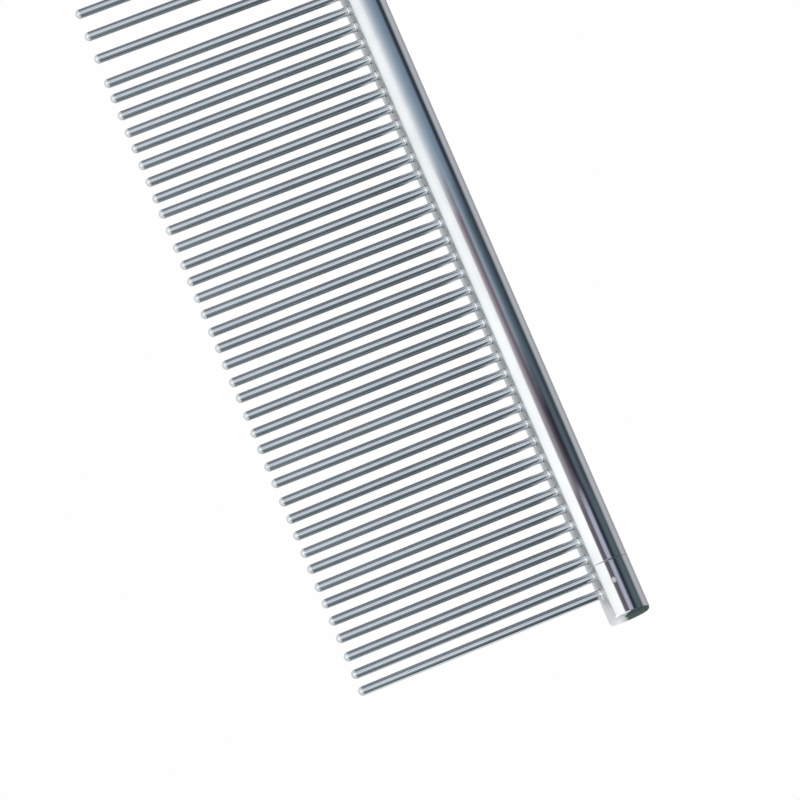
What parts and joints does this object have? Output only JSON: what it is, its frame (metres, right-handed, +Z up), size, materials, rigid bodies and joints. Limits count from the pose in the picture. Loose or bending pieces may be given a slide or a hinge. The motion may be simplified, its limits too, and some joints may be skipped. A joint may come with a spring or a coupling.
{
  "type": "steel grooming comb",
  "caption": "All-metal pet grooming comb: a straight D-section chromed spine with a single row of long round teeth, medium spaced on one half and coarse spaced on the other.",
  "frame": {"origin": "on the spine's flat underside, halfway along the spine and on the line of the tooth centres", "axes": "+X along the spine towards the medium-tooth end, -Y the way the teeth point, +Z up when the comb lies on its side"},
  "size_m": [0.1898, 0.0404, 0.0072],
  "materials": {
    "spine_chrome": "mirror-polished chrome plate with faint lengthwise polishing marks",
    "tooth_chrome": "polished plated steel pin",
    "bar_steel": "drawn bar, unpolished"
  },
  "bodies": {
    "root": {"spine_tube": "spine_chrome", "anchor_bar": "bar_steel", "end_cap_medium": "spine_chrome", "end_cap_coarse": "spine_chrome", "medium_teeth_01": "tooth_chrome", "medium_teeth_02": "tooth_chrome", "medium_teeth_03": "tooth_chrome", "medium_teeth_04": "tooth_chrome", "medium_teeth_05": "tooth_chrome", "medium_teeth_06": "tooth_chrome", "medium_teeth_07": "tooth_chrome", "medium_teeth_08": "tooth_chrome", "medium_teeth_09": "tooth_chrome", "medium_teeth_10": "tooth_chrome", "medium_teeth_11": "tooth_chrome", "medium_teeth_12": "tooth_chrome", "medium_teeth_13": "tooth_chrome", "medium_teeth_14": "tooth_chrome", "medium_teeth_15": "tooth_chrome", "medium_teeth_16": "tooth_chrome", "medium_teeth_17": "tooth_chrome", "medium_teeth_18": "tooth_chrome", "medium_teeth_19": "tooth_chrome", "coarse_teeth_01": "tooth_chrome", "coarse_teeth_02": "tooth_chrome", "coarse_teeth_03": "tooth_chrome", "coarse_teeth_04": "tooth_chrome", "coarse_teeth_05": "tooth_chrome", "coarse_teeth_06": "tooth_chrome", "coarse_teeth_07": "tooth_chrome", "coarse_teeth_08": "tooth_chrome", "coarse_teeth_09": "tooth_chrome", "coarse_teeth_10": "tooth_chrome", "coarse_teeth_11": "tooth_chrome", "coarse_teeth_12": "tooth_chrome", "coarse_teeth_13": "tooth_chrome"}
  },
  "joints": []
}
